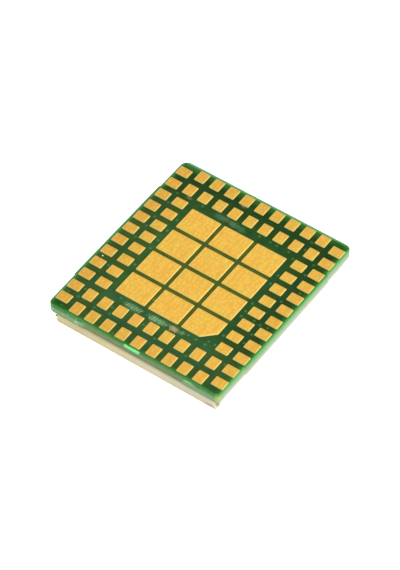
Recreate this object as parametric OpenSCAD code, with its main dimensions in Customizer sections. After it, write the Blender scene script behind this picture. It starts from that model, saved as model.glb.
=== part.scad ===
// Land-grid radio module, lying on its shield can with the solder lands facing up.
// X runs across the board, Y along it and Z up. The origin is the middle of the can's flat face.

/* [Board] */
// Width of the board, left to right
board_w = 15.8; // [14:0.1:22]
// Length of the board, front to back
board_l = 17.8; // [16:0.1:26]
// Thickness of the board
board_t = 0.8; // [0.4:0.05:1.6]
// Radius of the three rounded corners
corner_r = 0.55; // [0.2:0.05:1]
// Radius of the sharper corner at the front right
sharp_corner_r = 0.25; // [0.1:0.05:1]
// Depth of the steps along the routed edges
edge_step = 0.08; // [0.02:0.01:0.2]
// Length of the proud stretch of each side edge
side_stretch = 11; // [6:0.5:13]
// Width of the set-back stretch of the front edge
end_stretch = 9; // [5:0.5:11]
// Width of the break-off stub on the front edge
stub_w = 1.4; // [0.5:0.1:3]
// Height of the break-off stub
stub_t = 0.25; // [0.1:0.05:0.4]
// Place of the break-off stub along the front edge
stub_x = -0.1; // [-2:0.1:2]

/* [Lands] */
// Pitch of the lands along every row
land_pitch = 1.41; // [1.2:0.01:1.8]
// Length of a land, across its row
land_long = 1.09; // [0.8:0.01:1.4]
// Width of a land, along its row
land_wide = 0.89; // [0.6:0.01:1.1]
// Height of the lands above the board
land_t = 0.05; // [0.03:0.01:0.15]
// Bare margin between the set-back edges and the outer lands
land_margin = 0.16; // [0.02:0.01:0.3]
// Bare margin between the last land of a side column and the round of the corner
column_margin = 0.05; // [0.02:0.01:0.5]
// Gap between the outer and inner side columns
column_gap = 0.49; // [0.3:0.01:0.8]
// Gap between the outer and inner end rows
row_gap = 0.53; // [0.3:0.01:0.8]
// Least gap between a row of lands and the lands beside its end
land_clear = 0.4; // [0.2:0.05:0.8]

/* [Ground lands] */
// Width of a ground land
ground_w = 2.7; // [2:0.01:4]
// Length of a ground land
ground_l = 2.275; // [1.8:0.005:4]
// Gap between the ground lands
ground_gap = 0.335; // [0.15:0.005:0.6]
// Leg of the cut corner on the keyed ground land
key_cut = 1; // [0.4:0.05:1.5]

/* [Shield can] */
// Thickness of the can's sheet
can_t = 0.15; // [0.1:0.01:0.3]
// Bare rim of board around the can
can_rim = 0.42; // [0.3:0.01:0.8]
// Outside radius of the can's upright corners
can_corner_r = 0.25; // [0.15:0.05:1]
// Outside radius of the fold around the can's flat face
can_fold_r = 0.25; // [0.12:0.01:0.5]
// Leg of the solder fillets along the can's foot
fillet_leg = 0.15; // [0.05:0.01:0.2]
// Room between the tallest part and the can
head_room = 0.3; // [0.1:0.05:1]

/* [Processor] */
// Width of the processor
processor_w = 8; // [6:0.1:9.5]
// Length of the processor
processor_l = 7.8; // [6:0.1:9]
// Thickness of the processor's package
processor_t = 0.85; // [0.6:0.05:1.2]
// Height of the solder balls
ball_h = 0.25; // [0.15:0.01:0.4]
// Diameter of the solder balls
ball_d = 0.42; // [0.25:0.01:0.5]
// Pitch of the solder balls
ball_pitch = 0.8; // [0.65:0.05:1]
// Margin between the outer balls and the package's edge
ball_margin = 0.35; // [0.2:0.05:0.8]

/* [Radio parts] */
// Width of the amplifier
amplifier_w = 5; // [3.5:0.1:6]
// Length of the amplifier
amplifier_l = 3.6; // [3:0.1:5]
// Thickness of the amplifier
amplifier_t = 0.9; // [0.6:0.05:1.2]
// Number of receive filters
filter_count = 2; // [1:1:3]
// Width of a receive filter
filter_w = 1.4; // [1:0.1:2]
// Length of a receive filter
filter_l = 1.1; // [0.8:0.1:1.4]
// Thickness of a receive filter
filter_t = 0.5; // [0.4:0.05:0.9]
// Number of matching inductors
inductor_count = 4; // [1:1:5]
// Number of surge protectors
protector_count = 2; // [1:1:3]
// Width of a surge protector
protector_w = 1; // [0.6:0.1:1.4]
// Length of a surge protector
protector_l = 0.6; // [0.4:0.1:1]
// Thickness of a surge protector
protector_t = 0.4; // [0.3:0.05:0.8]

/* [Memory and crystals] */
// Width of the memory
memory_w = 3; // [2:0.1:4]
// Length of the memory
memory_l = 2; // [1.5:0.1:3]
// Thickness of the memory
memory_t = 0.55; // [0.4:0.05:1]
// Width of the reference crystal
crystal_w = 2.5; // [1.6:0.1:3.2]
// Length of the reference crystal
crystal_l = 2; // [1.2:0.1:2.5]
// Thickness of the reference crystal with its lid
crystal_t = 0.7; // [0.5:0.05:1]
// Width of the clock crystal
clock_w = 1.2; // [1:0.1:1.6]
// Length of the clock crystal
clock_l = 2; // [1.6:0.1:3.2]
// Thickness of the clock crystal with its lid
clock_t = 0.6; // [0.4:0.05:0.9]
// Thickness of a crystal's lid
lid_t = 0.1; // [0.05:0.01:0.2]
// Ledge of the ceramic base around a crystal's lid
lid_ledge = 0.12; // [0.05:0.01:0.3]

/* [Chip parts] */
// Number of supply capacitors
supply_count = 3; // [1:1:4]
// Length of a supply capacitor
supply_l = 1.6; // [1.2:0.1:2]
// Width of a supply capacitor
supply_w = 0.8; // [0.5:0.05:1.2]
// Thickness of a supply capacitor
supply_t = 0.8; // [0.4:0.05:1.2]
// Length of a supply capacitor's metal end
supply_end = 0.35; // [0.2:0.01:0.45]
// Number of small capacitors on each side of the processor
decoupling_count = 5; // [1:1:6]
// Length of a small capacitor or inductor
chip_l = 1; // [0.6:0.1:1.2]
// Width of a small capacitor or inductor
chip_w = 0.5; // [0.3:0.05:0.6]
// Thickness of a small capacitor or inductor
chip_t = 0.5; // [0.3:0.05:0.8]
// Length of a small capacitor's or inductor's metal end
chip_end = 0.22; // [0.1:0.01:0.25]
// Number of resistors on each side of the processor
resistor_count = 6; // [1:1:8]
// Length of a resistor
resistor_l = 0.6; // [0.4:0.05:1]
// Width of a resistor
resistor_w = 0.3; // [0.2:0.05:0.5]
// Thickness of a resistor
resistor_t = 0.25; // [0.15:0.05:0.4]
// Length of a resistor's metal end
resistor_end = 0.13; // [0.08:0.01:0.18]
// How far a chip part's body lies inside its metal ends
body_inset = 0.02; // [0.01:0.005:0.04]
// Gap between the larger parts
part_gap = 0.4; // [0.2:0.05:0.6]
// Gap between neighbouring chip parts
chip_gap = 0.3; // [0.2:0.05:0.5]

/* [Hidden] */
$fn = 64;

gold = [0.93, 0.7, 0.27];
mask_green = [0.16, 0.36, 0.18];
nickel_silver = [0.82, 0.78, 0.63];
tin = [0.72, 0.72, 0.7];
mould_black = [0.1, 0.1, 0.11];
ceramic_white = [0.86, 0.84, 0.78];
ceramic_tan = [0.62, 0.47, 0.31];
ferrite_grey = [0.3, 0.3, 0.32];

// Depth by which a cutter passes the face it cuts and a stub sinks into its carrier
overrun = 0.1;
// Smallest inside radius left in the can where the sheet is thicker than the bend
least_r = 0.02;

// Heights: the can stands on its flat face, its foot meets the board, and the lands are on top
tallest = max(ball_h + processor_t, amplifier_t, filter_t, protector_t, memory_t, crystal_t, clock_t,
              supply_t, chip_t, resistor_t);
can_h = can_t + head_room + tallest;
board_top = can_h + board_t;
can_w = board_w - 2 * can_rim;
can_l = board_l - 2 * can_rim;

// Centre lines of the two rings of lands
outer_x = board_w / 2 - edge_step - land_margin - land_long / 2;
outer_y = board_l / 2 - edge_step - land_margin - land_long / 2;
inner_x = outer_x - land_long - column_gap;
inner_y = outer_y - land_long - row_gap;
// How far in from the board's end a round corner still reaches the side columns
corner_reach = corner_r - sqrt(corner_r ^ 2 - (corner_r - land_margin) ^ 2) + column_margin;

// As many lands as fit at the pitch
function fitting(length, size, pitch) = 1 + floor((length - size) / pitch);
outer_column_count = fitting(board_l - 2 * corner_reach, land_wide, land_pitch);
inner_column_count = fitting(2 * inner_y - land_long - 2 * land_clear, land_wide, land_pitch);
row_count = fitting(2 * outer_x - land_long - 2 * land_clear, land_wide, land_pitch);
ground_pitch_x = ground_w + ground_gap;
ground_pitch_y = ground_l + ground_gap;
ground_columns = fitting(2 * inner_x - land_long - 2 * land_clear, ground_w, ground_pitch_x);
ground_rows = fitting(2 * inner_y - land_long - 2 * land_clear, ground_l, ground_pitch_y);
ball_columns = fitting(processor_w - 2 * ball_margin, ball_d, ball_pitch);
ball_rows = fitting(processor_l - 2 * ball_margin, ball_d, ball_pitch);

// Place of item i in a row of n items that is centred on zero
function spread(i, n, pitch) = (i - (n - 1) / 2) * pitch;
// Length of a run of n items with gaps between them
function run(n, size, gap) = n * size + (n - 1) * gap;

// Three bands of parts under the board, from the front: memory and supply, processor, radio
front_band = max(memory_l, crystal_l, clock_l, supply_l);
processor_band = max(processor_l, run(decoupling_count, chip_l, chip_gap),
                     run(resistor_count, resistor_l, chip_gap));
radio_band = max(amplifier_l, run(filter_count, filter_l, part_gap), run(inductor_count, chip_w, chip_gap),
                 run(protector_count, protector_l, part_gap));
bands_l = front_band + processor_band + radio_band + 2 * part_gap;
front_y = (front_band - bands_l) / 2;
processor_y = front_band + part_gap + (processor_band - bands_l) / 2;
radio_y = (bands_l - radio_band) / 2;

// Front band, from the left
supply_pitch = supply_w + part_gap;
front_w = memory_w + crystal_w + clock_w + run(supply_count, supply_w, part_gap) + 3 * part_gap;
memory_x = (memory_w - front_w) / 2;
crystal_x = memory_x + memory_w / 2 + part_gap + crystal_w / 2;
clock_x = crystal_x + crystal_w / 2 + part_gap + clock_w / 2;
supply_x = clock_x + clock_w / 2 + part_gap + supply_w / 2;

// Processor band, from the processor outwards on both sides
decoupling_x = processor_w / 2 + part_gap + chip_w / 2;
resistor_x = decoupling_x + chip_w / 2 + chip_gap + resistor_w / 2;

// Radio band, from the left
radio_w = amplifier_w + filter_w + chip_l + protector_w + 3 * part_gap;
amplifier_x = (amplifier_w - radio_w) / 2;
filter_x = amplifier_x + amplifier_w / 2 + part_gap + filter_w / 2;
inductor_x = filter_x + filter_w / 2 + part_gap + chip_l / 2;
protector_x = inductor_x + chip_l / 2 + part_gap + protector_w / 2;

// What a corner of radius r loses, for a corner at the origin with its shape towards -X and -Y
module corner_waste(r) {
    translate([-r, -r]) difference() {
        square(r + overrun);
        circle(r);
    }
}

// Centred rectangle with one radius for each corner: front left, front right, back right, back left
module rounded_rect(w, l, radii) {
    difference() {
        square([w, l], center = true);
        translate([-w / 2, -l / 2]) rotate(180) corner_waste(radii[0]);
        translate([w / 2, -l / 2]) rotate(270) corner_waste(radii[1]);
        translate([w / 2, l / 2]) corner_waste(radii[2]);
        translate([-w / 2, l / 2]) rotate(90) corner_waste(radii[3]);
    }
}

module board_outline() {
    difference() {
        union() {
            rounded_rect(board_w - 2 * edge_step, board_l, [corner_r, sharp_corner_r, corner_r, corner_r]);
            square([board_w, side_stretch], center = true);
        }
        translate([0, -board_l / 2]) square([end_stretch, 2 * edge_step], center = true);
    }
}

module circuit_board() {
    color(mask_green) union() {
        translate([0, 0, can_h]) linear_extrude(board_t) board_outline();
        translate([stub_x - stub_w / 2, -board_l / 2, board_top - stub_t])
            cube([stub_w, edge_step + overrun, stub_t]);
    }
}

module land(x, y, w, l) {
    translate([x - w / 2, y - l / 2, board_top]) cube([w, l, land_t]);
}

// Column of lands that runs along Y
module land_column(x, count) {
    color(gold) for (i = [0 : count - 1])
        land(x, spread(i, count, land_pitch), land_long, land_wide);
}

// Row of lands that runs along X
module land_row(y, count) {
    color(gold) for (i = [0 : count - 1])
        land(spread(i, count, land_pitch), y, land_wide, land_long);
}

module outer_lands_left() { land_column(-outer_x, outer_column_count); }
module outer_lands_right() { land_column(outer_x, outer_column_count); }
module outer_lands_front() { land_row(-outer_y, row_count); }
module outer_lands_back() { land_row(outer_y, row_count); }
module inner_lands_left() { land_column(-inner_x, inner_column_count); }
module inner_lands_right() { land_column(inner_x, inner_column_count); }
module inner_lands_front() { land_row(-inner_y, row_count); }
module inner_lands_back() { land_row(inner_y, row_count); }

function ground_x(column) = spread(column, ground_columns, ground_pitch_x);
function ground_y(row) = spread(row, ground_rows, ground_pitch_y);

// Every ground land but the keyed one, which is in the last column of the front row
module ground_lands() {
    color(gold) for (column = [0 : ground_columns - 1], row = [0 : ground_rows - 1])
        if (column < ground_columns - 1 || row > 0)
            land(ground_x(column), ground_y(row), ground_w, ground_l);
}

module keyed_ground_land() {
    x = ground_w / 2;
    y = ground_l / 2;
    color(gold) translate([ground_x(ground_columns - 1), ground_y(0), board_top])
        linear_extrude(land_t)
            polygon([[-x, -y], [x - key_cut, -y], [x, key_cut - y], [x, y], [-x, y]]);
}

// Upright section through the can, with round lower corners
module can_section(w, low, high, r) {
    difference() {
        translate([-w / 2, low]) square([w, high - low]);
        translate([-w / 2, low]) rotate(180) corner_waste(r);
        translate([w / 2, low]) rotate(270) corner_waste(r);
    }
}

// The can's outer form for an inset of 0, and the hollow in it for an inset of the sheet's thickness
module can_form(inset, high) {
    w = can_w - 2 * inset;
    l = can_l - 2 * inset;
    r = max(can_corner_r - inset, least_r);
    fold = max(can_fold_r - inset, least_r);
    intersection() {
        linear_extrude(high) rounded_rect(w, l, [r, r, r, r]);
        rotate([90, 0, 0]) linear_extrude(l, center = true) can_section(w, inset, high, fold);
        rotate([90, 0, 90]) linear_extrude(w, center = true) can_section(l, inset, high, fold);
    }
}

module shield_can() {
    color(nickel_silver) difference() {
        can_form(0, can_h);
        can_form(can_t, can_h + overrun);
    }
}

// Solder fillet in the corner between the can's wall and the board, along X, with its wall facing +Y
module fillet(length) {
    rotate([90, 0, 90]) linear_extrude(length, center = true)
        polygon([[0, 0], [fillet_leg, 0], [0, -fillet_leg]]);
}

module shield_solder() {
    color(tin) for (side = [0, 180]) rotate(side) {
        translate([0, can_l / 2, can_h]) fillet(can_w - 2 * can_corner_r);
        rotate(90) translate([0, can_w / 2, can_h]) fillet(can_l - 2 * can_corner_r);
    }
}

// Block under the board, with its upper face at the given height
module hung(x, y, w, l, t, top = can_h) {
    translate([x - w / 2, y - l / 2, top - t]) cube([w, l, t]);
}

module processor() {
    color(mould_black) hung(0, processor_y, processor_w, processor_l, processor_t, can_h - ball_h);
}

module processor_balls() {
    color(tin) for (i = [0 : ball_columns - 1], j = [0 : ball_rows - 1])
        translate([spread(i, ball_columns, ball_pitch), processor_y + spread(j, ball_rows, ball_pitch),
                   can_h - ball_h])
            cylinder(h = ball_h, d = ball_d);
}

module amplifier() {
    color(mould_black) hung(amplifier_x, radio_y, amplifier_w, amplifier_l, amplifier_t);
}

module receive_filters() {
    color(ceramic_white) for (i = [0 : filter_count - 1])
        hung(filter_x, radio_y + spread(i, filter_count, filter_l + part_gap), filter_w, filter_l, filter_t);
}

module protectors() {
    color(mould_black) for (i = [0 : protector_count - 1])
        hung(protector_x, radio_y + spread(i, protector_count, protector_l + part_gap),
             protector_w, protector_l, protector_t);
}

module memory() {
    color(mould_black) hung(memory_x, front_y, memory_w, memory_l, memory_t);
}

// Ceramic base of a crystal, and the metal lid on its far side
module base(x, w, l, t) {
    color(ceramic_white) hung(x, front_y, w, l, t - lid_t);
}

module lid(x, w, l, t) {
    color(tin) hung(x, front_y, w - 2 * lid_ledge, l - 2 * lid_ledge, lid_t, can_h - t + lid_t);
}

module crystal_base() { base(crystal_x, crystal_w, crystal_l, crystal_t); }
module crystal_lid() { lid(crystal_x, crystal_w, crystal_l, crystal_t); }
module clock_base() { base(clock_x, clock_w, clock_l, clock_t); }
module clock_lid() { lid(clock_x, clock_w, clock_l, clock_t); }

// Body and metal ends of a chip part that lies along X at the origin under the board
module chip_body(l, w, t, end) {
    hung(0, 0, l - 2 * end, w - 2 * body_inset, t - 2 * body_inset, can_h - body_inset);
}

module chip_ends(l, w, t, end) {
    for (side = [-1, 1])
        hung(side * (l - end) / 2, 0, end, w, t);
}

module supply_places() {
    for (i = [0 : supply_count - 1])
        translate([supply_x + i * supply_pitch, front_y, 0]) rotate(90) children();
}

module supply_capacitors() {
    color(ceramic_tan) supply_places() chip_body(supply_l, supply_w, supply_t, supply_end);
}

module supply_capacitor_ends() {
    color(tin) supply_places() chip_ends(supply_l, supply_w, supply_t, supply_end);
}

// Columns of chip parts on both sides of the processor
module side_places(x, count, pitch) {
    for (side = [-1, 1], i = [0 : count - 1])
        translate([side * x, processor_y + spread(i, count, pitch), 0]) rotate(90) children();
}

module decoupling_capacitors() {
    color(ceramic_tan) side_places(decoupling_x, decoupling_count, chip_l + chip_gap)
        chip_body(chip_l, chip_w, chip_t, chip_end);
}

module decoupling_capacitor_ends() {
    color(tin) side_places(decoupling_x, decoupling_count, chip_l + chip_gap)
        chip_ends(chip_l, chip_w, chip_t, chip_end);
}

module resistors() {
    color(mould_black) side_places(resistor_x, resistor_count, resistor_l + chip_gap)
        chip_body(resistor_l, resistor_w, resistor_t, resistor_end);
}

module resistor_ends() {
    color(tin) side_places(resistor_x, resistor_count, resistor_l + chip_gap)
        chip_ends(resistor_l, resistor_w, resistor_t, resistor_end);
}

module inductor_places() {
    for (i = [0 : inductor_count - 1])
        translate([inductor_x, radio_y + spread(i, inductor_count, chip_w + chip_gap), 0]) children();
}

module matching_inductors() {
    color(ferrite_grey) inductor_places() chip_body(chip_l, chip_w, chip_t, chip_end);
}

module matching_inductor_ends() {
    color(tin) inductor_places() chip_ends(chip_l, chip_w, chip_t, chip_end);
}

circuit_board();
outer_lands_left();
outer_lands_right();
outer_lands_front();
outer_lands_back();
inner_lands_left();
inner_lands_right();
inner_lands_front();
inner_lands_back();
ground_lands();
keyed_ground_land();
shield_can();
shield_solder();
processor();
processor_balls();
amplifier();
receive_filters();
protectors();
matching_inductors();
matching_inductor_ends();
memory();
crystal_base();
crystal_lid();
clock_base();
clock_lid();
supply_capacitors();
supply_capacitor_ends();
decoupling_capacitors();
decoupling_capacitor_ends();
resistors();
resistor_ends();
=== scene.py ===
import math
import random

import bmesh
import bpy
from mathutils import Matrix, Quaternion, Vector, noise


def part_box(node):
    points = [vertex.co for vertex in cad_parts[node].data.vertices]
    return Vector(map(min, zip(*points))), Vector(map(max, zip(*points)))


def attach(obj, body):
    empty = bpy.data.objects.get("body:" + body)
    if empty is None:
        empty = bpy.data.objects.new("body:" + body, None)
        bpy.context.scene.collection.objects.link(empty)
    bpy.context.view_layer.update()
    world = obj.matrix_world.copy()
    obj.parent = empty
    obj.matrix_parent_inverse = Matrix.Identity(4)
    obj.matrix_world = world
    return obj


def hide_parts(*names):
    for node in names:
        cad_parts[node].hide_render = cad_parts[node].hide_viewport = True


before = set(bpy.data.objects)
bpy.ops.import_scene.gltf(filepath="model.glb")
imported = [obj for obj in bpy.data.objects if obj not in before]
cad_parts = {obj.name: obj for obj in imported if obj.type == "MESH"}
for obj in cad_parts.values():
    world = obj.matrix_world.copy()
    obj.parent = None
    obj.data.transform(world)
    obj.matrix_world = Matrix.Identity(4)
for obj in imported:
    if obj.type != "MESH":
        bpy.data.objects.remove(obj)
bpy.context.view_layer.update()        # bodies and the imported CAD nodes
mm = 0.001               # pieces are drawn in millimetres and settled in metres
noise.seed_set(1)        # the same tears and dents in every run
print("frame loaded,", len(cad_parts), "CAD nodes")


# shared helpers for pieces

def boxOf(node):  # lowest and highest corner of a CAD node, in millimetres
    low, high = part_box(node)
    return Vector(low) / mm, Vector(high) / mm


def settle(name, bm, finishes, nodes=(), sharpDeg=35):  # make a draft a piece of the part
    bmesh.ops.remove_doubles(bm, verts=bm.verts, dist=0.0005)
    bmesh.ops.recalc_face_normals(bm, faces=bm.faces)
    bmesh.ops.scale(bm, vec=(mm, mm, mm), verts=bm.verts)
    mesh = bpy.data.meshes.new(name)
    bm.to_mesh(mesh)
    bm.free()
    for finish in finishes:
        mesh.materials.append(finish)
    mesh.shade_smooth()
    mesh.set_sharp_from_angle(angle=math.radians(sharpDeg))
    piece = bpy.data.objects.new(name, mesh)
    bpy.context.scene.collection.objects.link(piece)
    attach(piece, "root")
    if nodes:
        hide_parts(*nodes)
    print("  piece", name, len(mesh.polygons), "faces")


def pullUp(bm, face, height):  # raise a face into a closed block and hand back its top face
    raised = bmesh.ops.extrude_face_region(bm, geom=[face])["geom"]
    topVerts = [item for item in raised if isinstance(item, bmesh.types.BMVert)]
    bmesh.ops.translate(bm, vec=(0, 0, height), verts=topVerts)
    return next(item for item in raised if isinstance(item, bmesh.types.BMFace))


def roundEdges(bm, edges, radius, segments):
    bmesh.ops.bevel(bm, geom=edges, offset=radius, offset_type="OFFSET", segments=segments,
                    profile=0.5, affect="EDGES", material=-1, clamp_overlap=True)


def roundCorners(bm, verts, radius, segments):
    bmesh.ops.bevel(bm, geom=verts, offset=radius, offset_type="OFFSET", segments=segments,
                    profile=0.5, affect="VERTICES", material=-1, clamp_overlap=True)


def levelEdges(bm, z):  # edges that lie flat at one height
    return [e for e in bm.edges if all(abs(v.co.z - z) < 1e-5 for v in e.verts)]


def uprightEdges(bm):  # edges that stand straight up
    return [e for e in bm.edges if abs(e.verts[0].co.z - e.verts[1].co.z) > 1e-3
            and (e.verts[0].co.xy - e.verts[1].co.xy).length < 1e-5]


# shared helpers for finishes

def tone(red, green, blue):  # screen colour, 0 to 255, as linear light
    def linear(level):
        level /= 255
        return level / 12.92 if level <= 0.04045 else ((level + 0.055) / 1.055) ** 2.4
    return (linear(red), linear(green), linear(blue), 1)


def startFinish(name):
    finish = bpy.data.materials.new(name)
    finish.use_nodes = True
    return finish, finish.node_tree, finish.node_tree.nodes["Principled BSDF"]


def addNode(tree, kind, inputs, **settings):
    node = tree.nodes.new("ShaderNode" + kind)
    for key, value in settings.items():
        setattr(node, key, value)
    for key, value in inputs.items():
        if isinstance(value, bpy.types.NodeSocket):
            tree.links.new(value, node.inputs[key])
        else:
            node.inputs[key].default_value = value
    return node


def mmCoords(tree, stretch=(1, 1, 1)):  # object coordinates in millimetres
    coords = addNode(tree, "TexCoord", {})
    scale = [s / mm for s in stretch]
    return addNode(tree, "Mapping", {"Vector": coords.outputs["Object"], "Scale": scale}).outputs[0]


def grainOf(tree, vector, size, detail=3):  # noise in patches about size mm across
    inputs = {"Vector": vector, "Scale": 1 / size, "Detail": detail, "Roughness": 0.55}
    return addNode(tree, "TexNoise", inputs).outputs["Fac"]


def rampOf(tree, factor, stops):  # stops are places and colours
    ramp = addNode(tree, "ValToRGB", {"Fac": factor})
    elements = ramp.color_ramp.elements
    while len(elements) < len(stops):
        elements.new(0.5)
    for element, (place, colour) in zip(elements, stops):
        element.position = place
        element.color = colour
    return ramp.outputs["Color"]


def grey(level):
    return (level, level, level, 1)


def mixOf(tree, factor, first, second, mode="MIX"):
    mix = addNode(tree, "Mix", {0: factor, 6: first, 7: second}, data_type="RGBA", blend_type=mode)
    return mix.outputs[2]


def mathOf(tree, operation, first, second=0.0):
    return addNode(tree, "Math", {0: first, 1: second}, operation=operation).outputs[0]


def spanOf(tree, value, low, high, toLow=0.0, toHigh=1.0):  # remap and clamp
    span = addNode(tree, "MapRange", {"Value": value, "From Min": low, "From Max": high,
                                      "To Min": toLow, "To Max": toHigh})
    return span.outputs[0]


def bumpOf(tree, shader, height, depth):  # depth in millimetres
    bump = addNode(tree, "Bump", {"Height": height, "Strength": 1.0, "Distance": depth * mm})
    tree.links.new(bump.outputs["Normal"], shader.inputs["Normal"])


def feed(tree, shader, **sockets):  # link what varies over the surface
    names = {"colour": "Base Color", "rough": "Roughness"}
    for key, value in sockets.items():
        tree.links.new(value, shader.inputs[names[key]])


def specklesFinish(name, dark, light, patch, rough, metallic=0.0):  # two tones in fine speckles
    finish, tree, shader = startFinish(name)
    speckles = grainOf(tree, mmCoords(tree), patch, 4)
    feed(tree, shader, colour=rampOf(tree, speckles, [(0.35, dark), (0.65, light)]),
         rough=spanOf(tree, speckles, 0.2, 0.8, rough - 0.08, rough + 0.08))
    shader.inputs["Metallic"].default_value = metallic
    bumpOf(tree, shader, speckles, 0.002)
    return finish


# camera: the photo's view, fitted to the lands
photoView = {
    "lens": 189.5, "sensor": 36,          # mm, the sensor along the image's long side
    "place": (83.86, -120.40, 175.23),    # mm
    "lookAt": (0.52, -0.93, 2.4),         # mm, on the land tops
    "rollDeg": 0.41,
    "clipStart": 0.01,                    # m
}


def setCamera():
    data = bpy.data.cameras.new("photoCamera")
    data.lens = photoView["lens"]
    data.sensor_width = photoView["sensor"]
    data.clip_start = photoView["clipStart"]
    camera = bpy.data.objects.new("photoCamera", data)
    bpy.context.scene.collection.objects.link(camera)
    place = Vector(photoView["place"])
    aim = (Vector(photoView["lookAt"]) - place).to_track_quat("-Z", "Y")
    camera.rotation_mode = "QUATERNION"
    camera.rotation_quaternion = aim @ Quaternion((0, 0, 1), math.radians(photoView["rollDeg"]))
    camera.location = place * mm
    bpy.context.scene.camera = camera


setCamera()
print("camera set")


# light: a white tent with soft lamps
studio = {
    "tent": 1.0,
    "lamps": {
        "rightLamp": {"toward": (0.39, 0.53, 0.75), "distance": 0.5, "size": 0.3, "radiance": 0.85},
        "leftLamp": {"toward": (-0.81, 0.53, 0.25), "distance": 0.5, "size": 0.3, "radiance": 0.4},
        "topLamp": {"toward": (0.66, -0.2, 0.72), "distance": 0.7, "size": 0.5, "radiance": 6.0},
    },
    "floorSize": 3.0, "floorGlow": 0.6,   # the floor is a lit table, a hair below the can
    "floorDrop": 0.00001,
}


def setStudio():
    scene = bpy.context.scene
    scene.view_settings.view_transform = "Standard"
    world = bpy.data.worlds.new("studioWorld")
    scene.world = world
    world.use_nodes = True
    background = world.node_tree.nodes["Background"]
    background.inputs["Color"].default_value = (1, 1, 1, 1)
    background.inputs["Strength"].default_value = studio["tent"]
    for name, lamp in studio["lamps"].items():
        data = bpy.data.lights.new(name, "AREA")
        data.size = lamp["size"]
        data.energy = lamp["radiance"] * math.pi * lamp["size"] ** 2
        light = bpy.data.objects.new(name, data)
        toward = Vector(lamp["toward"]).normalized()
        light.location = toward * lamp["distance"]
        light.rotation_euler = (-toward).to_track_quat("-Z", "Y").to_euler()
        scene.collection.objects.link(light)


def floorFinish():
    finish, tree, shader = startFinish("paleFloor")
    cloud = grainOf(tree, mmCoords(tree), 40)
    feed(tree, shader, colour=rampOf(tree, cloud, [(0.3, grey(0.90)), (0.7, grey(0.93))]))
    shader.inputs["Roughness"].default_value = 0.9
    shader.inputs["Specular IOR Level"].default_value = 0.1
    shader.inputs["Emission Color"].default_value = grey(1)
    shader.inputs["Emission Strength"].default_value = studio["floorGlow"]
    return finish


def setFloor():
    bm = bmesh.new()
    bmesh.ops.create_grid(bm, x_segments=2, y_segments=2, size=studio["floorSize"] / 2)
    bmesh.ops.translate(bm, vec=(0, 0, -studio["floorDrop"]), verts=bm.verts)
    mesh = bpy.data.meshes.new("floor")
    bm.to_mesh(mesh)
    bm.free()
    mesh.materials.append(floorFinish())
    floor = bpy.data.objects.new("floor", mesh)
    bpy.context.scene.collection.objects.link(floor)


setStudio()
setFloor()
print("studio set")


# gold lands
landForm = {
    "planR": 0.07,                        # rounding of the plan corners
    "slopeW": 0.08, "slopeH": 0.035,      # slope around the upper face
    "easeR": 0.012,                       # softening of the slope's upper edge
    "sink": 0.02,                         # reach into the board
    "along": 0.89,                        # size of a small land along its row
    "counts": {
        "outer_lands_left": 12, "outer_lands_right": 12, "outer_lands_front": 9, "outer_lands_back": 9,
        "inner_lands_left": 8, "inner_lands_right": 8, "inner_lands_front": 9, "inner_lands_back": 9,
    },
    "cell": 0.055,                        # mesh size on the upper face
}
groundForm = {"columns": 3, "rows": 4, "gap": 0.335, "keyCut": 1.0, "cell": 0.05}
swellForm = {                             # swellings in the plating, in columns after the glass weave below
    "pitch": 0.36, "height": 0.008, "wide": 0.085, "long": 0.095,
    "ridge": 0.15,                        # height between the swellings of one column
    "stray": 0.36,                        # wander, in pitches
}
platingForm = {                           # mm
    "patch": 0.55, "grain": 0.07, "streak": 0.3, "drift": 0.9,   # sizes of the patterns
    "across": (-7.0, 6.0), "stray": 4.0,  # X, from the left tones (darker, as painted shade) to the right ones, and how uneven
    "deep": (0.7, 3.6),                   # in from the edges, from the outer tones to the middle ones
    "crestSheen": (2.8, 3.6),                 # in from the edges, to where the painted highlight on the swellings is strongest
}
goldTones = {
    "outer": (tone(209, 154, 58), tone(220, 169, 65)),     # near the board's edges, left and right; in this pair and the next the left one is darker as painted shade
    "middle": (tone(227, 175, 66), tone(232, 182, 71)),
    # painted highlight on the swellings' crests
    "swelling": tone(255, 214, 106),
    "rim": (tone(195, 183, 112), tone(202, 187, 114)),     # thin plating on the slopes, paler also as a painted highlight, outer and middle
    "warm": (1.015, 0.955, 0.97, 1), "fresh": (0.985, 1.045, 1.03, 1),   # slow drift of the hue
    "streakDark": tone(216, 154, 48), "streakLight": tone(252, 208, 98),
    "grainDark": tone(214, 150, 50), "grainLight": tone(255, 222, 120),
}


def edgeGap(tree, apart):  # how far a place is inside the board's box
    high = boxOf("circuit_board")[1]
    wide, deep = (mathOf(tree, "ABSOLUTE", apart.outputs[axis]) for axis in "XY")
    sideways = mathOf(tree, "SUBTRACT", high.x, wide)
    endways = mathOf(tree, "SUBTRACT", high.y, deep)
    return mathOf(tree, "MINIMUM", sideways, endways)


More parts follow.
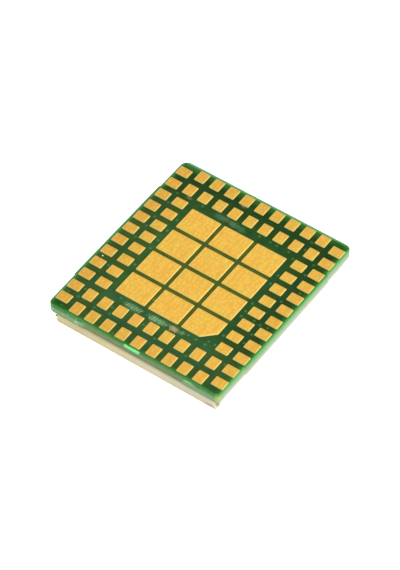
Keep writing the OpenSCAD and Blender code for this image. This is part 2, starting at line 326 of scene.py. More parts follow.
def goldFinish():  # deeper near the board's edges and darker to the left as painted shade; paler on the swellings as a painted highlight, and on the slopes as thin plating and a painted highlight
    finish, tree, shader = startFinish("goldPlating")
    top = boxOf("ground_lands")[1].z
    coords = mmCoords(tree)
    apart = addNode(tree, "SeparateXYZ", {"Vector": coords})
    patches = grainOf(tree, coords, platingForm["patch"], 3)
    grain = grainOf(tree, coords, platingForm["grain"], 2)
    stray = platingForm["stray"]
    uneven = mathOf(tree, "ADD", apart.outputs["X"], spanOf(tree, patches, 0.3, 0.7, -stray, stray))
    # painted shade: the gold darkens towards the left
    across = spanOf(tree, uneven, *platingForm["across"])
    inside = edgeGap(tree, apart)
    deep = spanOf(tree, inside, *platingForm["deep"])
    outer = mixOf(tree, across, *goldTones["outer"])
    middle = mixOf(tree, across, *goldTones["middle"])
    base = mixOf(tree, deep, outer, middle)
    hollow = top - swellForm["height"]
    crest = spanOf(tree, apart.outputs["Z"], hollow, top)
    crestSheen = spanOf(tree, inside, *platingForm["crestSheen"], 0.42, 0.75)
    # painted highlight: the swellings' crests are paler, most in from the edges
    base = mixOf(tree, mathOf(tree, "MULTIPLY", crest, crestSheen), base, goldTones["swelling"])
    streaks = grainOf(tree, mmCoords(tree, (1, 0.2, 1)), platingForm["streak"], 2)
    streaks = rampOf(tree, streaks, [(0.35, goldTones["streakDark"]), (0.65, goldTones["streakLight"])])
    base = mixOf(tree, 0.12, base, streaks)
    flecks = rampOf(tree, grain, [(0.3, goldTones["grainDark"]), (0.7, goldTones["grainLight"])])
    base = mixOf(tree, 0.12, base, flecks)
    drift = spanOf(tree, grainOf(tree, coords, platingForm["drift"], 3), 0.34, 0.66)
    hue = mixOf(tree, drift, goldTones["warm"], goldTones["fresh"])
    base = mixOf(tree, 1.0, base, hue, "MULTIPLY")
    # the slopes are paler: thin plating and a painted highlight
    rim = spanOf(tree, apart.outputs["Z"], hollow - 0.002, hollow - 0.006)
    base = mixOf(tree, rim, base, mixOf(tree, deep, *goldTones["rim"]))
    feed(tree, shader, colour=base, rough=spanOf(tree, patches, 0.2, 0.8, 0.32, 0.42))
    shader.inputs["Metallic"].default_value = 1
    bumpOf(tree, shader, grain, 0.003)
    return finish


def swelling(x, y):  # 0 between the swellings in the plating, 1 on top of one
    pitch, ridge = swellForm["pitch"], swellForm["ridge"]
    column, row = math.floor(x / pitch), math.floor(y / pitch)
    tallest = 0
    for i in (column - 1, column, column + 1):
        for j in (row - 1, row, row + 1):
            stray = noise.cell_vector(Vector((i + 0.5, j + 0.5, 0.5))) * 2 - Vector((1, 1, 1))
            across = x / pitch - i - 0.5 - stray.x * swellForm["stray"]
            along = y / pitch - j - 0.5 - stray.y * swellForm["stray"]
            bump = ridge + (1 - ridge) * math.exp(-(along * pitch / swellForm["long"]) ** 2)
            tallest = max(tallest, bump * math.exp(-(across * pitch / swellForm["wide"]) ** 2))
    return tallest


def addLand(bm, corners, low, high, cell):  # sloped edges, and swellings in the upper face
    land = bmesh.new()
    foot = land.faces.new([land.verts.new((x, y, low)) for x, y in corners])
    pullUp(land, foot, high - low - landForm["slopeH"])
    roundEdges(land, uprightEdges(land), landForm["planR"], 3)
    land.normal_update()
    upper = next(f for f in land.faces if f.normal.z > 0.99 and f.calc_center_median().z > low + 1e-3)
    bmesh.ops.inset_region(land, faces=[upper], thickness=landForm["slopeW"], depth=landForm["slopeH"],
                           use_even_offset=True)
    roundEdges(land, levelEdges(land, high), landForm["easeR"], 2)
    xs = [v.co.x for v in land.verts]
    ys = [v.co.y for v in land.verts]
    for axis, start, end in ((0, min(xs), max(xs)), (1, min(ys), max(ys))):
        cuts = round((end - start) / cell)
        for i in range(1, cuts):
            place = Vector((0, 0, 0))
            place[axis] = start + i * (end - start) / cuts
            facing = Vector((0, 0, 0))
            facing[axis] = 1
            top = [f for f in land.faces if all(v.co.z > high - 1e-5 for v in f.verts)]
            edges = list({e for f in top for e in f.edges})
            verts = list({v for f in top for v in f.verts})
            bmesh.ops.bisect_plane(land, geom=verts + edges + top, dist=1e-4,
                                   plane_co=place, plane_no=facing)
    for v in land.verts:
        if v.co.z > high - 1e-5 and all(f.normal.z > 0.99 for f in v.link_faces):
            v.co.z -= swellForm["height"] * (1 - swelling(v.co.x, v.co.y))
    mesh = bpy.data.meshes.new("landDraft")
    land.to_mesh(mesh)
    land.free()
    bm.from_mesh(mesh)
    bpy.data.meshes.remove(mesh)


def rectangle(x, y, w, l):  # corners, counterclockwise from the front left
    return [(x - w / 2, y - l / 2), (x + w / 2, y - l / 2), (x + w / 2, y + l / 2), (x - w / 2, y + l / 2)]


def makeLands(gold):
    for node, count in landForm["counts"].items():
        low, high = boxOf(node)
        middle, size = (low + high) / 2, high - low
        axis = 0 if size.x > size.y else 1
        pitch = (size[axis] - landForm["along"]) / (count - 1)
        bm = bmesh.new()
        for i in range(count):
            place = middle.copy()
            place[axis] += (i - (count - 1) / 2) * pitch
            span = size.copy()
            span[axis] = landForm["along"]
            addLand(bm, rectangle(place.x, place.y, span.x, span.y),
                    low.z - landForm["sink"], high.z, landForm["cell"])
        settle(node.replace("_", "-") + "-plated", bm, [gold], [node])


def makeGroundLands(gold):
    low, high = boxOf("ground_lands")
    columns, rows, gap = groundForm["columns"], groundForm["rows"], groundForm["gap"]
    w = (high.x - low.x - (columns - 1) * gap) / columns
    l = (high.y - low.y - (rows - 1) * gap) / rows
    bm = bmesh.new()
    keyed = bmesh.new()
    for column in range(columns):
        for row in range(rows):
            x = low.x + w / 2 + column * (w + gap)
            y = low.y + l / 2 + row * (l + gap)
            corners = rectangle(x, y, w, l)
            isKey = column == columns - 1 and row == 0
            if isKey:  # the front right corner is cut off
                cut = groundForm["keyCut"]
                corners[1:2] = [(x + w / 2 - cut, y - l / 2), (x + w / 2, y - l / 2 + cut)]
            addLand(keyed if isKey else bm, corners, low.z - landForm["sink"], high.z, groundForm["cell"])
    settle("ground-lands-plated", bm, [gold], ["ground_lands"])
    settle("keyed-ground-land-plated", keyed, [gold], ["keyed_ground_land"])


goldPlating = goldFinish()
makeLands(goldPlating)
makeGroundLands(goldPlating)
print("lands made")


# circuit board
boardForm = {
    "step": 0.08, "ease": 0.06,           # routed steps along the edges, and their slope
    "sideStretch": 11.0, "endStretch": 9.0,
    "corners": ((2, 0.25), (7, 0.55), (8, 0.65), (13, 0.45)),   # place in the outline, and radius
    "rimR": 0.04, "footR": 0.03,          # softening of the upper and lower edges
}
maskForm = {                              # mm
    "patch": 0.8, "grain": 0.12,          # sizes of the patterns
    "right": (-6, 6),                     # X, from the left tone to the right one
    "back": (2, 8), "front": (-4, -6),    # Y, to where these tones are full
    "ring": (2.9, 1.6),                   # in from the board's edges, around the outer lands
    "wander": 0.08,                       # how uneven the green along the edges is
    "seam": 0.1,                          # where one half of the board meets the other
}
boardTones = {
    "left": tone(43, 73, 30), "right": tone(31, 59, 24),
    "back": tone(24, 55, 18), "front": tone(41, 73, 39),
    "olive": tone(67, 72, 13),            # between the ground lands, over copper
    "crossing": tone(46, 73, 34),         # bare laminate where the gaps cross
    "rim": tone(41, 89, 27), "bare": tone(118, 138, 72),
    "copper": (1.3, 0.95, 0.6, 1),        # how it tints the mask around the lands
    "ring": grey(0.8),                    # dims the mask around the outer lands
}
viaTones = boardTones | {
    "left": tone(57, 97, 55), "right": tone(50, 93, 54),
    "back": tone(43, 84, 44), "front": tone(55, 99, 58),
    "olive": tone(71, 99, 42),
}
rimForm = {                               # along each edge: reach of the clear green and of the pale fringe, a painted highlight
    "left": {"rim": (0.5, 0.22), "fringe": (0.24, 0.02), "pale": tone(84, 130, 88)},
    "right": {"rim": (0.58, 0.22), "fringe": (0.26, 0.0), "pale": tone(90, 158, 91)},
    "front": {"rim": (0.44, 0.16), "fringe": (0.22, 0.02), "pale": tone(64, 120, 58)},
    "back": {"rim": (0.9, 0.26), "fringe": (0.28, 0.04), "pale": tone(104, 152, 108)},
}
smudges = [                               # smears on the mask: place, size, strength and colour
    ((-5.26, 5.81, 2.35), (0.28, 0.16, 0.2), 0.5, tone(126, 116, 82)),
    ((-1.35, 7.5, 2.35), (0.4, 0.14, 0.2), 0.45, tone(126, 116, 82)),
    ((-2.3, -5.58, 2.35), (0.95, 0.36, 0.2), 0.4, tone(104, 144, 96)),
    ((-0.1, -5.56, 2.35), (1.05, 0.36, 0.2), 0.5, tone(110, 146, 96)),
    ((1.38, -5.53, 2.35), (0.5, 0.32, 0.2), 0.85, tone(150, 134, 96)),
    ((2.1, -5.48, 2.35), (0.28, 0.26, 0.2), 0.35, tone(120, 152, 104)),
    ((-2.1, 5.58, 2.35), (0.7, 0.34, 0.2), 0.4, tone(72, 116, 82)),
    ((-1.55, 5.62, 2.35), (0.5, 0.3, 0.2), 0.3, tone(92, 102, 78)),
    ((-0.9, 5.54, 2.35), (0.5, 0.34, 0.2), 0.5, tone(86, 112, 80)),
    ((-0.25, 5.48, 2.35), (0.6, 0.32, 0.2), 0.4, tone(64, 112, 72)),
]
laminateForm = {                          # mm
    "patch": 0.5, "fibre": 0.6, "chip": 0.3,               # sizes of the patterns
    "wander": 0.07,                       # how uneven the layers are
    "front": (-8.0, -7.0),                # Y, where the front's tones end
    "seam": 0.1,                          # where they change at the ends of the set-back stretch
    "right": (7.45, 7.75),                # X, where the right side's paler tones, painted light, begin
    "chips": ((-4.3, -4.9), (-7.2, -8.2)),                 # X and Y, into the front left, where the painted glints reach
}
laminateTones = {                         # up the routed sides: share of the height, and colour; the middle and outer are darkest at the foot as a painted shadow under the board's edge
    "middle": [(0.0, tone(58, 54, 24)), (0.12, tone(73, 79, 36)), (0.35, tone(78, 97, 49)),
               (0.6, tone(69, 106, 50)), (0.85, tone(43, 98, 29)), (1.0, tone(31, 73, 17))],
    "outer": [(0.0, tone(58, 68, 34)), (0.15, tone(84, 106, 63)), (0.35, tone(92, 123, 81)),
              (0.6, tone(66, 118, 64)), (0.85, tone(22, 88, 24)), (1.0, tone(14, 66, 15))],
    # the right side, paler towards the foot as painted light
    "right": [(0.0, tone(158, 159, 150)), (0.25, tone(134, 140, 123)), (0.5, tone(119, 139, 108)),
              (0.75, tone(101, 134, 88)), (1.0, tone(83, 122, 67))],
    "fibres": [(0.3, tone(54, 86, 46)), (0.7, tone(160, 186, 140))],
    # painted highlight: pale glints on the front left's side
    "chips": tone(190, 200, 184),
}
paintedCornerShading = [                           # painted shade at each corner, and painted light at the back left: place, size and what it lets through
    ((-7.0, -8.5, 2.35), (1.2, 0.55, 0.3), (0.38, 0.82, 0.64, 1)),
    ((6.9, -8.5, 2.35), (0.9, 0.5, 0.3), (0.55, 0.77, 0.77, 1)),
    ((6.9, 8.48, 2.35), (1.0, 0.5, 0.3), (0.42, 0.72, 0.5, 1)),
    ((-6.9, 8.6, 2.35), (1.0, 0.5, 0.3), (1.2, 1.1, 1.4, 1)),
]
bareCorner = ((7.75, -8.85, 1.95), (0.4, 0.4, 0.6))    # mask worn off at the front right: place and size
sideMarksAndHighlights = [                             # marks and painted highlights on the routed side: place, size and colour
    # a dark brown spot on the lower edge at the step
    ((-4.6, -8.85, 1.6), (0.25, 0.3, 0.12), tone(92, 62, 50)),
    # a painted highlight along the upper side by the right step
    ((5.1, -8.9, 2.14), (0.7, 0.3, 0.13), tone(110, 170, 114)),
    (*bareCorner, tone(128, 146, 80)),
    # painted glints on the front left corner's side
    ((-7.7, -8.6, 1.95), (0.35, 0.5, 0.4), tone(124, 146, 122)),
]
stubForm = {                              # what is left of a break-off tab
    "x": -0.1, "w": 1.4, "t": 0.25, "sink": 0.06, "edgeR": 0.03,
    "tear": 0.02, "tearsPerMm": 7,        # torn fibres
    # brightest near the top: the broken facet's colour with a painted highlight
    "fresh": [(0.0, tone(50, 124, 60)), (0.5, tone(68, 172, 86)), (0.9, tone(80, 192, 98))],
    "threads": [(0.3, tone(50, 140, 70)), (0.7, tone(140, 236, 160))],
}
viaForm = {
    "r": 0.115, "height": 0.014, "sink": 0.01, "segments": 16,
    "rings": ((0.25, 0.6), (0.25, 0.4), (0.2, -0.25)),     # shoulder, crown, dimple: inward and up
    "columns": {                          # vias that stand in columns: X, and each Y
        -6.3: (-7.1, -6.2, -3.3, 0.2, 1.6, 2.7, 4.5, 5.7),
        -4.7: (-8.2, -7.3, -2.1, -0.1, 0.9, 2.1, 3.4),
        -1.5: (-4.1, 2.6),
        1.4: (0.0, 2.6),
        4.75: (-5.0, -3.9, -1.6, -1.0, -0.1, 2.3, 3.3, 5.3),
        5.0: (6.6, 7.5),
        6.4: (-6.1, -3.6, -2.6, -1.5, 1.3, 4.5, 5.7),
    },
    "rows": {                             # and in rows: Y, and each X
        -8.5: (-6.8, -2.1),
        -7.1: (-7.2, -5.8, -3.4, 0.75, 3.6),
        -6.5: (-3.6, -0.7),
        -5.4: (-3.6, 2.6, 3.3, 4.1),
        -5.0: (4.2,),
        -1.4: (5.8, 7.0),
        2.8: (7.1,),
        5.7: (-3.9, 1.4, 2.4, 3.0, 4.1),
    },
}
hatchForm = {                             # faint slanted ticks on the mask
    "length": 0.42, "width": 0.1, "pitch": 0.24, "lean": 0.14, "height": 0.008, "sink": 0.01,
    "shortest": 0.7, "edge": 0.2,         # shares of the length and of the width
    "seed": 4,
    "runs": [(-3.0, -1.55, -5.6), (-0.85, 0.75, -5.58)],   # from X, to X, at Y
}
fleckForm = {"place": (-7.21, -2.8, 2.355), "size": (0.035, 0.075, 0.02)}  # dust beside a land
lumpForm = {"dents": 0.02, "dentsPerMm": 18}           # how uneven the fleck and the bead are


def spotOf(tree, coords, centre, size):  # 1 in the middle of a spot, 0 outside it
    offset = addNode(tree, "VectorMath", {0: coords, 1: centre}, operation="SUBTRACT").outputs[0]
    share = addNode(tree, "VectorMath", {0: offset, 1: size}, operation="DIVIDE").outputs[0]
    away = addNode(tree, "VectorMath", {0: share}, operation="LENGTH").outputs["Value"]
    uneven = mathOf(tree, "ADD", away, spanOf(tree, grainOf(tree, coords, 0.12, 3), 0.3, 0.7, -0.35, 0.35))
    return spanOf(tree, uneven, 1.0, 0.4)


def insetOf(tree, apart):  # how far a place is inside the board's edges, sideways and endways
    high = boxOf("circuit_board")[1]
    wide, deep = (mathOf(tree, "ABSOLUTE", apart.outputs[axis]) for axis in "XY")
    side, ease = boardForm["sideStretch"] / 2, boardForm["ease"]
    edge = spanOf(tree, deep, side - ease, side + ease, high.x, high.x - boardForm["step"])
    return mathOf(tree, "SUBTRACT", edge, wide), mathOf(tree, "SUBTRACT", high.y, deep)


def rowsOf(tree, apart):  # 1 along the rows and columns of small lands
    x, y = (mathOf(tree, "ABSOLUTE", apart.outputs[axis]) for axis in "XY")
    inRow = None
    for value, axis, side in ((x, 0, "right"), (y, 1, "back")):
        for ring in ("outer", "inner"):
            low, high = boxOf(ring + "_lands_" + side)
            away = mathOf(tree, "ABSOLUTE", mathOf(tree, "SUBTRACT", value, (low[axis] + high[axis]) / 2))
            half = (high[axis] - low[axis]) / 2
            near = spanOf(tree, away, half + 0.08, half - 0.08)
            inRow = near if inRow is None else mathOf(tree, "MAXIMUM", inRow, near)
    return inRow


def crossingsOf(tree, apart):  # 1 where the gaps between the ground lands cross
    low, high = boxOf("ground_lands")
    gap = groundForm["gap"]
    pitchX = (high.x - low.x + gap) / groundForm["columns"]
    pitchY = (high.y - low.y + gap) / groundForm["rows"]
    x = mathOf(tree, "SUBTRACT", mathOf(tree, "ABSOLUTE", apart.outputs["X"]), pitchX / 2)
    y = mathOf(tree, "PINGPONG", apart.outputs["Y"], pitchY / 2)
    squares = [mathOf(tree, "MULTIPLY", value, value) for value in (x, y)]
    away = mathOf(tree, "SQRT", mathOf(tree, "ADD", *squares))
    inField = spanOf(tree, mathOf(tree, "ABSOLUTE", apart.outputs["Y"]), pitchY * 1.5, pitchY * 1.4)
    return mathOf(tree, "MULTIPLY", spanOf(tree, away, 0.3, 0.1), inField)


def maskFinish(name, tones):  # green mask, tinted by the copper and marks below and on it, with a painted highlight along the edges and painted shade and light at the corners
    finish, tree, shader = startFinish(name)
    low, high = boxOf("ground_lands")
    coords = mmCoords(tree)
    apart = addNode(tree, "SeparateXYZ", {"Vector": coords})
    x, y = apart.outputs["X"], apart.outputs["Y"]
    patches = grainOf(tree, coords, maskForm["patch"], 3)
    body = mixOf(tree, spanOf(tree, x, *maskForm["right"]), tones["left"], tones["right"])
    body = mixOf(tree, spanOf(tree, y, *maskForm["back"]), body, tones["back"])
    body = mixOf(tree, spanOf(tree, y, *maskForm["front"]), body, tones["front"])
    keyed = mathOf(tree, "SUBTRACT", mathOf(tree, "SUBTRACT", x, y), high.x - low.y - groundForm["keyCut"])
    field = mathOf(tree, "MAXIMUM", mathOf(tree, "SUBTRACT", mathOf(tree, "ABSOLUTE", x), high.x),
                   mathOf(tree, "SUBTRACT", mathOf(tree, "ABSOLUTE", y), high.y))
    nearEdge = spanOf(tree, edgeGap(tree, apart), *maskForm["ring"], 0.0, 0.8)
    body = mixOf(tree, nearEdge, body, tones["ring"], "MULTIPLY")
    body = mixOf(tree, rowsOf(tree, apart), body, tones["copper"], "MULTIPLY")
    body = mixOf(tree, spanOf(tree, mathOf(tree, "MAXIMUM", field, keyed), 0.0, -0.1), body, tones["olive"])
    body = mixOf(tree, crossingsOf(tree, apart), body, tones["crossing"])
    cloud = rampOf(tree, patches, [(0.3, grey(0.25)), (0.7, grey(0.75))])
    body = mixOf(tree, 0.35, body, cloud, "OVERLAY")
    for centre, size, strength, shade in smudges:
        smear = mathOf(tree, "MULTIPLY", spotOf(tree, coords, centre, size), strength)
        body = mixOf(tree, smear, body, shade)
    across, along = insetOf(tree, apart)
    wander = spanOf(tree, patches, 0.3, 0.7, -maskForm["wander"], maskForm["wander"])
    seam = maskForm["seam"]
    sides = {                             # inset from an edge, and 1 on its half of the board
        "left": (across, spanOf(tree, x, seam, -seam)), "right": (across, spanOf(tree, x, -seam, seam)),
        "front": (along, spanOf(tree, y, seam, -seam)), "back": (along, spanOf(tree, y, -seam, seam)),
    }
    for side, (inset, half) in sides.items():
        green = spanOf(tree, mathOf(tree, "ADD", inset, wander), *rimForm[side]["rim"])
        body = mixOf(tree, mathOf(tree, "MULTIPLY", green, half), body, tones["rim"])
    # painted highlight: a pale fringe along each edge
    for side, (inset, half) in sides.items():
        pale = spanOf(tree, inset, *rimForm[side]["fringe"])
        body = mixOf(tree, mathOf(tree, "MULTIPLY", pale, half), body, rimForm[side]["pale"])
    # painted shade on three corners, painted light on the back left one
    for centre, size, shadeFactor in paintedCornerShading:
        body = mixOf(tree, spotOf(tree, coords, centre, size), body, shadeFactor, "MULTIPLY")
    body = mixOf(tree, spotOf(tree, coords, *bareCorner), body, tones["bare"])
    feed(tree, shader, colour=body, rough=spanOf(tree, patches, 0.2, 0.8, 0.32, 0.45))
    shader.inputs["Specular IOR Level"].default_value = 0.05
    bumpOf(tree, shader, grainOf(tree, coords, maskForm["grain"], 2), 0.002)
    return finish


def laminateFinish():  # layers up the routed sides, darkest at the foot as painted shade, a paler right side as painted light, and painted glints at the front left
    finish, tree, shader = startFinish("routedLaminate")
    low, high = boxOf("circuit_board")
    coords = mmCoords(tree)
    apart = addNode(tree, "SeparateXYZ", {"Vector": coords})
    x, y = apart.outputs["X"], apart.outputs["Y"]
    wander = laminateForm["wander"]
    patches = grainOf(tree, coords, laminateForm["patch"], 3)
    uneven = mathOf(tree, "ADD", apart.outputs["Z"], spanOf(tree, patches, 0.3, 0.7, -wander, wander))
    level = spanOf(tree, uneven, low.z, high.z)
    middle = rampOf(tree, level, laminateTones["middle"])
    outer = rampOf(tree, level, laminateTones["outer"])
    right = rampOf(tree, level, laminateTones["right"])
    end, seam = boardForm["endStretch"] / 2, laminateForm["seam"]
    ends = spanOf(tree, mathOf(tree, "ABSOLUTE", x), end - seam, end + seam)
    ends = mathOf(tree, "MAXIMUM", ends, spanOf(tree, y, *laminateForm["front"]))
    layers = mixOf(tree, ends, middle, outer)              # browner in the middle of the front
    # painted light: the right side is paler
    layers = mixOf(tree, spanOf(tree, x, *laminateForm["right"]), layers, right)
    fibres = grainOf(tree, mmCoords(tree, (1, 1, 14)), laminateForm["fibre"], 3)
    layers = mixOf(tree, 0.1, layers, rampOf(tree, fibres, laminateTones["fibres"]))
    # painted highlight: whitish glints streaked along the front left side
    chips = grainOf(tree, mmCoords(tree, (1, 1, 2.5)), laminateForm["chip"])
    chips = spanOf(tree, chips, 0.56, 0.68, 0.0, 0.45)
    for value, reach in zip((x, y), laminateForm["chips"]):
        chips = mathOf(tree, "MULTIPLY", chips, spanOf(tree, value, *reach))
    layers = mixOf(tree, chips, layers, laminateTones["chips"])
    # marks, and painted highlights, on the routed side
    for centre, size, shade in sideMarksAndHighlights:
        layers = mixOf(tree, spotOf(tree, coords, centre, size), layers, shade)
    feed(tree, shader, colour=layers)
    shader.inputs["Roughness"].default_value = 0.55
    shader.inputs["Specular IOR Level"].default_value = 0.2
    bumpOf(tree, shader, fibres, 0.006)
    return finish


def mintFinish():  # pale where the tab broke off, bright mint as a painted highlight on the broken facet
    finish, tree, shader = startFinish("freshBreak")
    coords = mmCoords(tree)
    high = boxOf("circuit_board")[1]
    fibres = grainOf(tree, mmCoords(tree, (1, 1, 6)), 0.3, 3)
    z = addNode(tree, "SeparateXYZ", {"Vector": coords}).outputs["Z"]
    depth = spanOf(tree, z, high.z - stubForm["t"], high.z)
    fresh = rampOf(tree, depth, stubForm["fresh"])
    threads = rampOf(tree, fibres, stubForm["threads"])
    feed(tree, shader, colour=mixOf(tree, 0.15, fresh, threads))
    shader.inputs["Roughness"].default_value = 0.35
    bumpOf(tree, shader, fibres, 0.006)
    return finish


def boardOutline(low, high):  # counterclockwise from the front edge's set-back stretch
    step, ease = boardForm["step"], boardForm["ease"]
    side, end = boardForm["sideStretch"] / 2, boardForm["endStretch"] / 2
    edge = high.x - step
    rightHalf = [(end - ease, low.y + step), (end + ease, low.y), (edge, low.y), (edge, -side - ease),
                 (high.x, -side + ease), (high.x, side - ease), (edge, side + ease), (edge, high.y)]
    return rightHalf + [(-x, y) for x, y in rightHalf[::-1]]


def makeBoard(mask, laminate):
    low, high = boxOf("circuit_board")
    bm = bmesh.new()
    verts = [bm.verts.new((x, y, low.z)) for x, y in boardOutline(low, high)]
    bm.faces.new(verts)
    for place, radius in boardForm["corners"]:
        roundCorners(bm, [verts[place]], radius, 8)
    pullUp(bm, bm.faces[:][0], high.z - low.z)
    roundEdges(bm, levelEdges(bm, high.z), boardForm["rimR"], 3)
    roundEdges(bm, levelEdges(bm, low.z), boardForm["footR"], 2)
    bm.normal_update()
    for face in bm.faces:
        face.material_index = 0 if abs(face.normal.z) > 0.3 else 1
    settle("routed-board", bm, [mask, laminate], ["circuit_board"])


def makeStub(mint):
    low, high = boxOf("circuit_board")
    depth = boardForm["step"] + stubForm["sink"]
    bm = bmesh.new()
    place = Matrix.Translation((stubForm["x"], low.y + depth / 2, high.z - stubForm["t"] / 2))
    size = Matrix.Diagonal((stubForm["w"], depth, stubForm["t"], 1))
    bmesh.ops.create_cube(bm, size=1, matrix=place @ size)
    roundEdges(bm, bm.edges[:], stubForm["edgeR"], 2)
    bmesh.ops.subdivide_edges(bm, edges=bm.edges[:], cuts=3, use_grid_fill=True)
    for v in bm.verts:
        tear = noise.noise_vector(v.co * stubForm["tearsPerMm"]) * stubForm["tear"]
        v.co += Vector((tear.x, max(tear.y, 0), min(tear.z, 0)))
    settle("break-off-stub", bm, [mint])


def makeVias(tented):
    high = boxOf("circuit_board")[1]
    r, height, sink = viaForm["r"], viaForm["height"], viaForm["sink"]
    bm = bmesh.new()
    places = [(x, y) for x, column in viaForm["columns"].items() for y in column]
    places += [(x, y) for y, row in viaForm["rows"].items() for x in row]
    for x, y in places:
        spot = Matrix.Translation((x, y, high.z - sink))
        ring = bmesh.ops.create_circle(bm, cap_ends=True, segments=viaForm["segments"], radius=r,
                                       matrix=spot)["verts"]
        top = pullUp(bm, ring[0].link_faces[0], sink)
        for share, rise in viaForm["rings"]:
            bmesh.ops.inset_region(bm, faces=[top], thickness=r * share, depth=height * rise,
                                   use_even_offset=True)
    settle("tented-vias", bm, [tented])


def makeHatching(ink):
    high = boxOf("circuit_board")[1]
    length, width, lean = hatchForm["length"], hatchForm["width"], hatchForm["lean"]
    dice = random.Random(hatchForm["seed"])
    bm = bmesh.new()
    for start, end, y in hatchForm["runs"]:
        count = max(2, round((end - start) / hatchForm["pitch"]))
        for i in range(count):
            x = start + (end - start) * (i + 0.5) / count
            half = length / 2 * dice.uniform(hatchForm["shortest"], 1.0)
            z = high.z - hatchForm["sink"]
            corners = [(x - lean / 2, y - half), (x - lean / 2 + width, y - half),
                       (x + lean / 2 + width, y + half), (x + lean / 2, y + half)]
            foot = bm.faces.new([bm.verts.new((px, py, z)) for px, py in corners])
            top = pullUp(bm, foot, hatchForm["sink"])
            bmesh.ops.inset_region(bm, faces=[top], thickness=width * hatchForm["edge"],
                                   depth=hatchForm["height"], use_even_offset=True)
    settle("faded-hatching", bm, [ink])


def makeSpeck(name, form, finish):  # a small uneven lump
    bm = bmesh.new()
    place = Matrix.Translation(form["place"]) @ Matrix.Diagonal((*form["size"], 1))
    bmesh.ops.create_icosphere(bm, subdivisions=3, radius=1, matrix=place)
    for v in bm.verts:
        v.co += noise.noise_vector(v.co * lumpForm["dentsPerMm"]) * lumpForm["dents"]
    settle(name, bm, [finish], sharpDeg=60)


makeBoard(maskFinish("solderMask", boardTones), laminateFinish())
makeStub(mintFinish())
makeVias(maskFinish("maskOverCopper", viaTones))
makeHatching(specklesFinish("fadedInk", tone(52, 86, 47), tone(122, 152, 108), 0.14, 0.6))
dust = specklesFinish("paleDust", tone(220, 226, 220), tone(250, 252, 250), 0.05, 0.7)
makeSpeck("dust-fleck", fleckForm, dust)
print("board made")


# shield can and the solder along its foot
canForm = {"sheet": 0.15, "cornerR": 0.25, "foldR": 0.1, "filletLeg": 0.15, "filletSteps": 6}
canReach = {                              # mm, from where to where
    "warmth": (-7.0, 5.0),                # X, yellower to the left
    "litRight": (7.1, 7.4),                  # X, the right side, paler as painted light
    "boardShade": (0.7, 1.0),                   # Z, darker under the board as painted shade
}
canTones = {
    "sheet": [(0.3, tone(164, 155, 131)), (0.7, tone(175, 169, 149))],
    "lines": [(0.3, tone(159, 150, 116)), (0.7, tone(208, 203, 179))],
    "warmth": [(0.0, (0.92, 0.88, 0.64, 1)), (0.35, (1, 0.98, 0.8, 1)), (1.0, (0.97, 1, 1, 1))],
    # painted light: the brightly lit right side
    "litRight": tone(194, 194, 184),
    # painted shade under the board's overhang
    "boardShade": grey(0.55),
    "solder": [(0.3, tone(118, 118, 116)), (0.7, tone(156, 156, 152))],
}
canCornerDarkening = [                             # darker patches by the right front corner: place, size and colour
    # a painted dark reflection on the can's right front corner
    ((7.4, -8.4, 0.75), (0.2, 0.3, 0.4), tone(132, 112, 80)),
    ((6.7, -8.48, 0.2), (0.5, 0.3, 0.25), tone(150, 132, 100)),
]
beadForm = {"place": (-7.45, -8.42, 0.63), "size": (0.08, 0.07, 0.08)}    # a small dark bead on a corner


def canFinish():
    finish, tree, shader = startFinish("rolledNickelSilver")
    coords = mmCoords(tree)
    rolling = grainOf(tree, mmCoords(tree, (0.08, 1.6, 1.6)), 0.12, 4)
    stain = grainOf(tree, coords, 1.8, 3)
    apart = addNode(tree, "SeparateXYZ", {"Vector": coords})
    base = rampOf(tree, stain, canTones["sheet"])
    base = mixOf(tree, 0.2, base, rampOf(tree, rolling, canTones["lines"]))
    across = spanOf(tree, apart.outputs["X"], *canReach["warmth"])
    base = mixOf(tree, 1.0, base, rampOf(tree, across, canTones["warmth"]), "MULTIPLY")
    # painted light: the right side is paler
    litRight = spanOf(tree, apart.outputs["X"], *canReach["litRight"])
    base = mixOf(tree, litRight, base, canTones["litRight"])
    # painted shade: the can's upper band under the board is darker
    boardShade = spanOf(tree, apart.outputs["Z"], *canReach["boardShade"])
    base = mixOf(tree, boardShade, base, canTones["boardShade"], "MULTIPLY")
    # darker patches at the right front corner, the upper one a painted reflection
    for centre, size, shade in canCornerDarkening:
        base = mixOf(tree, spotOf(tree, coords, centre, size), base, shade)
    feed(tree, shader, colour=base, rough=spanOf(tree, rolling, 0.2, 0.8, 0.3, 0.45))
    shader.inputs["Metallic"].default_value = 1
    bumpOf(tree, shader, rolling, 0.002)
    return finish


def solderFinish():
    finish, tree, shader = startFinish("reflowedSolder")
    frost = grainOf(tree, mmCoords(tree), 0.1, 4)
    feed(tree, shader, colour=rampOf(tree, frost, canTones["solder"]),
         rough=spanOf(tree, frost, 0.2, 0.8, 0.25, 0.5))
    shader.inputs["Metallic"].default_value = 1
    bumpOf(tree, shader, frost, 0.004)
    return finish


def makeCan(sheet):
    low, high = boxOf("shield_can")
    size, middle = high - low, (low + high) / 2
    bm = bmesh.new()
    bmesh.ops.create_cube(bm, size=1, matrix=Matrix.Translation(middle) @ Matrix.Diagonal((*size, 1)))
    bmesh.ops.delete(bm, geom=[f for f in bm.faces if f.normal.z > 0.5], context="FACES_ONLY")
    roundEdges(bm, uprightEdges(bm), canForm["cornerR"], 8)
    roundEdges(bm, levelEdges(bm, low.z), canForm["foldR"], 5)
    bmesh.ops.recalc_face_normals(bm, faces=bm.faces)
    bmesh.ops.solidify(bm, geom=bm.faces[:], thickness=canForm["sheet"])
    settle("folded-can", bm, [sheet], ["shield_can"])


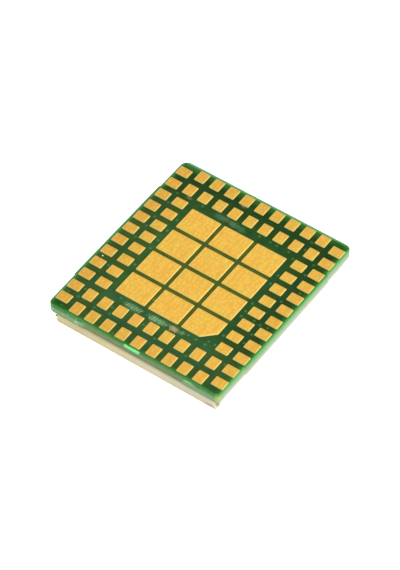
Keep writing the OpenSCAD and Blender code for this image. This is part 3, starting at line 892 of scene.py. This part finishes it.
def makeFillets(solder):
    low, high = boxOf("shield_can")
    leg, r, steps = canForm["filletLeg"], canForm["cornerR"], canForm["filletSteps"]
    w, l = high.x - low.x + 2 * leg, high.y - low.y + 2 * leg
    bm = bmesh.new()
    verts = [bm.verts.new((x, y, high.z)) for x, y in rectangle(0, 0, w, l)]
    bm.faces.new(verts[::-1])             # faces down, away from the board
    roundCorners(bm, verts, r + leg, 8)
    inner = bm.faces[:][0]
    for i in range(steps):  # a hollow quarter round, climbing the wall
        turn, turnNext = (math.pi / 2 * k / steps for k in (i, i + 1))
        inward = leg * (math.sin(turnNext) - math.sin(turn))
        climb = leg * (math.cos(turn) - math.cos(turnNext))
        bmesh.ops.inset_region(bm, faces=[inner], thickness=inward, depth=climb, use_even_offset=True,
                               use_boundary=True)
    cap = pullUp(bm, inner, leg)          # back up along the can's wall
    bmesh.ops.delete(bm, geom=[inner, cap], context="FACES_ONLY")
    bmesh.ops.bridge_loops(bm, edges=[e for e in bm.edges if e.is_boundary])
    settle("can-solder", bm, [solder], ["shield_solder"])


makeCan(canFinish())
makeFillets(solderFinish())
darkBead = specklesFinish("darkBeadSpeckles", tone(58, 62, 48), tone(104, 108, 88), 0.05, 0.5)
makeSpeck("dark-bead", beadForm, darkBead)
print("can made")


# parts under the can: the CAD solids stay, with softened edges and their own finishes
hiddenParts = {"edgeR": 0.02, "weld": 0.001}   # mm


def dressHidden():
    finishes = {
        "mould": specklesFinish("mouldedEpoxy", tone(24, 24, 26), tone(46, 46, 48), 0.06, 0.6),
        "ceramic": specklesFinish("whiteCeramic", tone(214, 208, 190), tone(232, 228, 214), 0.15, 0.5),
        "lid": specklesFinish("platedLid", tone(196, 188, 164), tone(222, 216, 196), 0.2, 0.3, 1.0),
        "dielectric": specklesFinish("firedDielectric", tone(150, 110, 72), tone(172, 132, 92), 0.12, 0.45),
        "tin": specklesFinish("tinnedEnd", tone(184, 184, 180), tone(220, 220, 214), 0.08, 0.32, 1.0),
        "ferrite": specklesFinish("firedFerrite", tone(62, 62, 66), tone(92, 92, 96), 0.08, 0.55),
        "balls": specklesFinish("solderBall", tone(170, 170, 168), tone(214, 214, 210), 0.1, 0.3, 1.0),
    }
    wear = {
        "processor": "mould", "processor_balls": "balls", "amplifier": "mould",
        "receive_filters": "ceramic", "protectors": "mould",
        "matching_inductors": "ferrite", "matching_inductor_ends": "tin",
        "memory": "mould", "crystal_base": "ceramic", "crystal_lid": "lid", "clock_base": "ceramic",
        "clock_lid": "lid", "supply_capacitors": "dielectric", "supply_capacitor_ends": "tin",
        "decoupling_capacitors": "dielectric", "decoupling_capacitor_ends": "tin",
        "resistors": "mould", "resistor_ends": "tin",
    }
    for node, finish in wear.items():
        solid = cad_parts[node]
        for slot in solid.material_slots:
            slot.material = finishes[finish]
        weld = solid.modifiers.new("weld", "WELD")
        weld.merge_threshold = hiddenParts["weld"] * mm
        soften = solid.modifiers.new("soften", "BEVEL")
        soften.width = hiddenParts["edgeR"] * mm
        soften.segments = 2
        soften.limit_method = "ANGLE"


dressHidden()
print("hidden parts dressed")
